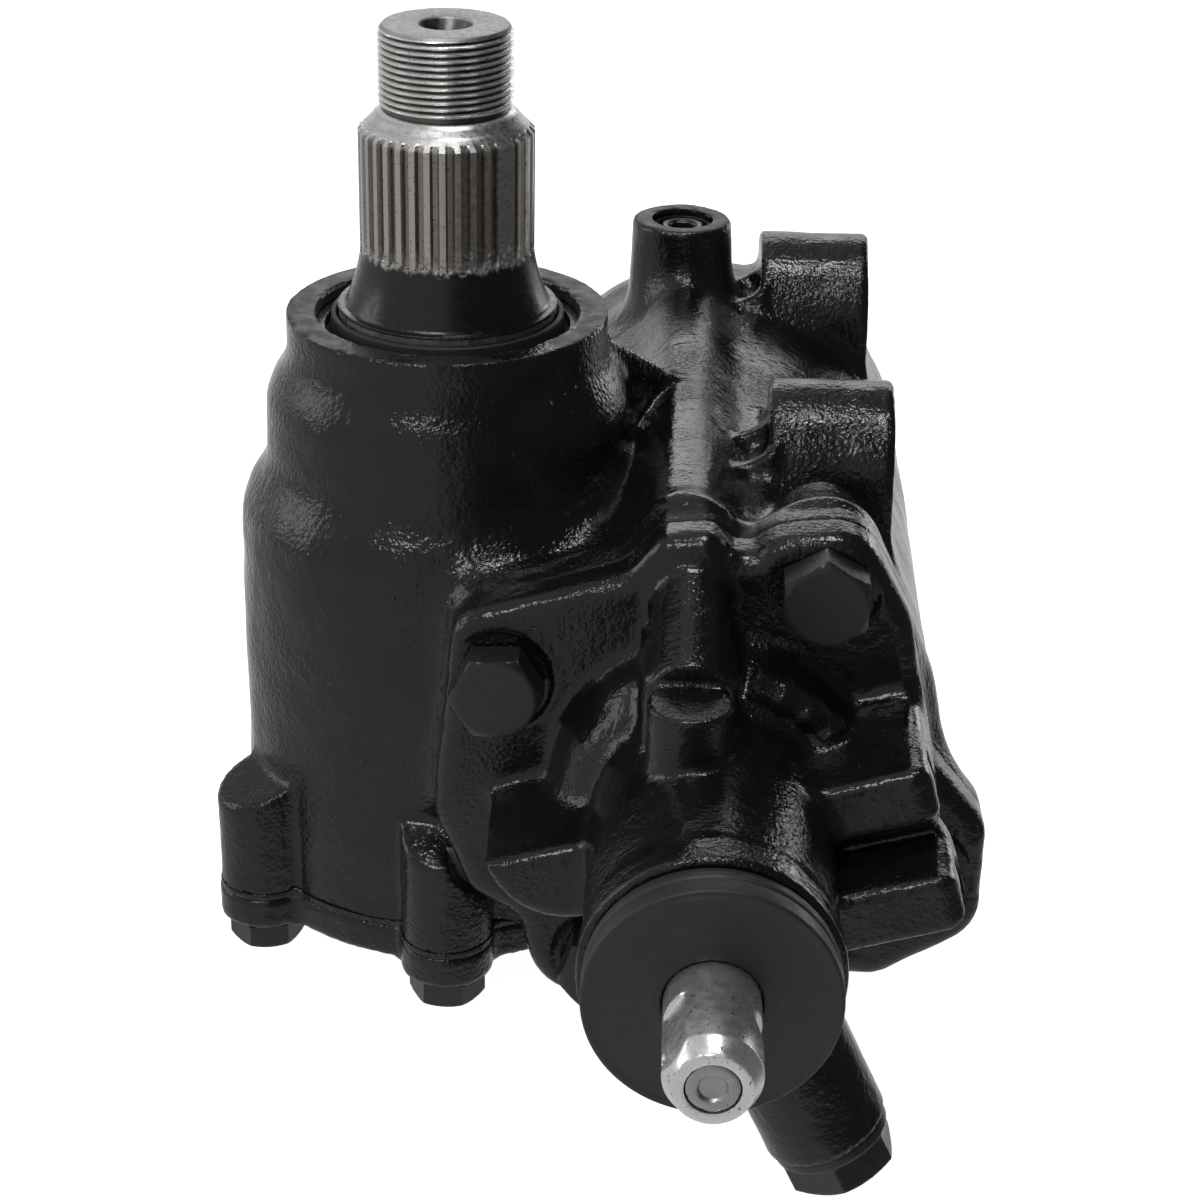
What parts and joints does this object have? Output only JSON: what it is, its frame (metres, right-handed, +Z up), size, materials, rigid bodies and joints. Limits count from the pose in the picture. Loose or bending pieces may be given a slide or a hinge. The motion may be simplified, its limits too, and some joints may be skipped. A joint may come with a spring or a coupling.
{
  "type": "steering gearbox",
  "caption": "Integral power steering gearbox: rack piston and recirculating-ball worm turning a splined sector shaft, with a bolted rotary-valve housing.",
  "frame": {"origin": "centre of the assembly's bounding box in X and Y, at its lowest point in Z", "axes": "+Y along the worm and the piston cylinder, away from the input shaft; +Z up along the sector shaft, towards its splined end; +X towards the frame mount faces"},
  "size_m": [0.1772, 0.3218, 0.2232],
  "materials": {
    "black_paint": "gloss black paint over rough cast iron",
    "black_bolt": "satin black painted steel",
    "bright_steel": "satin bright steel with small rust specks",
    "ground_steel": "ground and machined steel",
    "bearing_steel": "polished steel",
    "seal_rubber": "matt black",
    "gasket_paper": "matt grey-brown",
    "ring_polymer": "dark filled polymer"
  },
  "bodies": {
    "housing": {"gear_housing": "black_paint", "valve_housing": "black_paint", "side_cover": "black_paint", "cover_bolt_1": "black_bolt", "cover_bolt_2": "black_bolt", "cover_bolt_3": "black_bolt", "cover_bolt_4": "black_bolt", "cover_bolt_5": "black_bolt", "cover_bolt_6": "black_bolt", "valve_housing_bolt_1": "black_bolt", "valve_housing_bolt_2": "black_bolt", "valve_housing_bolt_3": "black_bolt", "valve_housing_bolt_4": "black_bolt", "cover_gasket": "gasket_paper", "sector_upper_bearing": "bearing_steel", "sector_oil_seal": "seal_rubber", "sector_dust_seal": "seal_rubber", "sector_snap_ring": "bearing_steel", "sector_lower_bearing": "bearing_steel", "lash_adjuster_screw": "bearing_steel", "adjuster_jam_nut": "black_bolt", "housing_seal_ring": "seal_rubber", "pressure_port_seat": "bearing_steel", "return_port_seat": "bearing_steel", "passage_plug": "black_bolt", "relief_valve_cap": "black_bolt", "relief_spring": "bearing_steel", "thrust_bearing_front": "bearing_steel", "thrust_bearing_rear": "bearing_steel", "bearing_adjuster": "ground_steel", "input_bearing": "bearing_steel", "input_seal": "seal_rubber"},
    "sector": {"sector_shaft": "ground_steel", "lash_retainer": "bearing_steel"},
    "worm": {"worm": "ground_steel", "valve_sleeve": "ground_steel", "sleeve_ring_1": "ring_polymer", "sleeve_ring_2": "ring_polymer", "sleeve_ring_3": "ring_polymer"},
    "input": {"input_shaft": "bright_steel", "torsion_bar": "ground_steel", "torsion_bar_pin": "bearing_steel", "dust_disc": "seal_rubber"},
    "piston": {"rack_piston": "ground_steel", "piston_ring": "ring_polymer", "ball_train": "bearing_steel", "ball_return_guide": "bearing_steel", "guide_clamp": "ground_steel", "clamp_screw_1": "black_bolt", "clamp_screw_2": "black_bolt", "unloader_poppet": "bearing_steel"},
    "relief": {"relief_plunger": "bearing_steel"}
  },
  "joints": [
    {"name": "worm_turn", "type": "hinge", "parent": "housing", "child": "worm", "pos_m": [0.02712, 0.01885, 0.073], "axis": [0, 1, 0], "range_deg": [-726, 726]},
    {"name": "valve_twist", "type": "hinge", "parent": "worm", "child": "input", "pos_m": [0.02712, 0.01885, 0.073], "axis": [0, 1, 0], "range_deg": [-7, 7], "stiffness_Nm_per_rad": 57},
    {"name": "piston_slide", "type": "slide", "parent": "housing", "child": "piston", "axis": [0, 1, 0], "range_m": [-0.02419, 0.02419]},
    {"name": "sector_swing", "type": "hinge", "parent": "housing", "child": "sector", "pos_m": [-0.03558, 0.01885, 0.073], "axis": [0, 0, 1], "range_deg": [-42, 42]},
    {"name": "relief_lift", "type": "slide", "parent": "housing", "child": "relief", "axis": [0.4226, 0, -0.9063], "range_m": [0, 0.002], "stiffness_N_per_m": 8000, "springref_m": -0.002}
  ],
  "couplings": [
    {"joint": "worm_turn", "follows": "piston_slide", "rad_per_m": -523.6},
    {"joint": "sector_swing", "follows": "piston_slide", "rad_per_m": 30.303}
  ]
}
